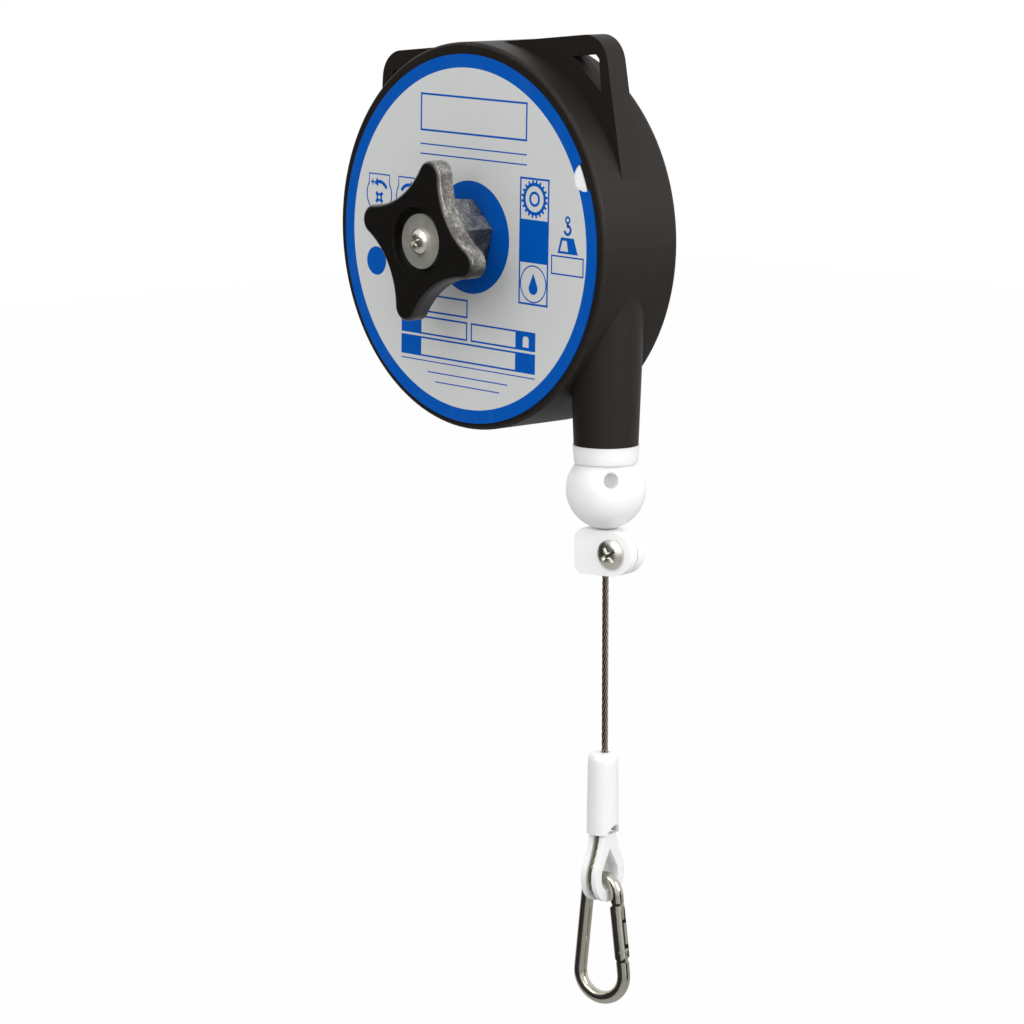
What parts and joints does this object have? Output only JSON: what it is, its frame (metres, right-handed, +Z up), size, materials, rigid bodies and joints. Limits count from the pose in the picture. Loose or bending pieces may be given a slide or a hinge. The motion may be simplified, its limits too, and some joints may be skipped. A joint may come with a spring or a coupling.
{
  "type": "tool balancer",
  "caption": "Round spring tool balancer with hanging ears, a setting knob, a wire rope outlet with buffer ball and stop, and a snap hook on the rope end.",
  "frame": {"origin": "point where the drum axis meets the flat back face of the case", "axes": "+Z up, -Y out of the front with the knob, +X to the side where the rope leaves"},
  "size_m": [0.118, 0.0535, 0.2963],
  "materials": {
    "case_black": "matte",
    "label_print": "satin",
    "white_plastic": "satin",
    "knob_black": "glossy",
    "zinc_steel": "polished",
    "plain_steel": "brushed",
    "bearing_bronze": "satin",
    "drum_aluminium": "satin",
    "rope_steel": "satin"
  },
  "bodies": {
    "case": {"case": "case_black", "front_cover": "white_plastic", "label": "label_print", "cover_screws": "zinc_steel", "rear_bush": "bearing_bronze", "front_bush": "bearing_bronze", "outlet_bush": "white_plastic", "pawl_pin": "plain_steel"},
    "drum": {"cable_drum": "drum_aluminium", "spring_cover": "drum_aluminium", "wound_rope": "rope_steel", "power_spring": "plain_steel", "drum_back_bush": "bearing_bronze", "drum_front_bush": "bearing_bronze"},
    "arbor": {"arbor_shaft": "plain_steel", "ratchet_wheel": "plain_steel", "knob": "knob_black", "knob_washer": "zinc_steel", "knob_screw": "zinc_steel"},
    "pawl": {"pawl": "plain_steel"},
    "load_end": {"upper_rope": "rope_steel", "buffer_ball": "white_plastic", "stop_front": "white_plastic", "stop_back": "white_plastic", "stop_screw": "zinc_steel", "stop_nut": "zinc_steel", "lower_rope": "rope_steel", "ferrule": "drum_aluminium", "sleeve": "white_plastic", "thimble": "white_plastic"},
    "snap_hook": {"hook": "zinc_steel", "gate_pivot_pin": "zinc_steel"},
    "hook_gate": {"gate": "zinc_steel", "gate_latch_pin": "zinc_steel"}
  },
  "joints": [
    {"name": "drum_spin", "type": "hinge", "parent": "case", "child": "drum", "pos_m": [0, 0, 0], "axis": [0, 1, 0], "range_deg": [0, 2014.8], "stiffness_Nm_per_rad": 0.01, "springref_deg": -1145.92},
    {"name": "load_slide", "type": "slide", "parent": "case", "child": "load_end", "axis": [0, 0, -1], "range_m": [0, 1.6], "deforming": ["upper_rope"]},
    {"name": "knob_turn", "type": "hinge", "parent": "case", "child": "arbor", "pos_m": [0, 0, 0], "axis": [0, -1, 0], "continuous": true},
    {"name": "pawl_lift", "type": "hinge", "parent": "case", "child": "pawl", "pos_m": [-0.02285, 0, 0.01785], "axis": [0, -1, 0], "range_deg": [0, 14], "stiffness_Nm_per_rad": 0.02, "springref_deg": -28.65},
    {"name": "hook_swing", "type": "hinge", "parent": "load_end", "child": "snap_hook", "pos_m": [0.04575, -0.01802, -0.1941], "axis": [0.972, 0.2351, 0], "range_deg": [-75, 75]},
    {"name": "gate_open", "type": "hinge", "parent": "snap_hook", "child": "hook_gate", "pos_m": [0.05261, -0.01636, -0.2169], "axis": [0.2351, -0.972, 0], "range_deg": [0, 19], "stiffness_Nm_per_rad": 0.02, "springref_deg": -34.38}
  ],
  "couplings": [
    {"joint": "load_slide", "follows": "drum_spin", "m_per_rad": 0.0455}
  ]
}
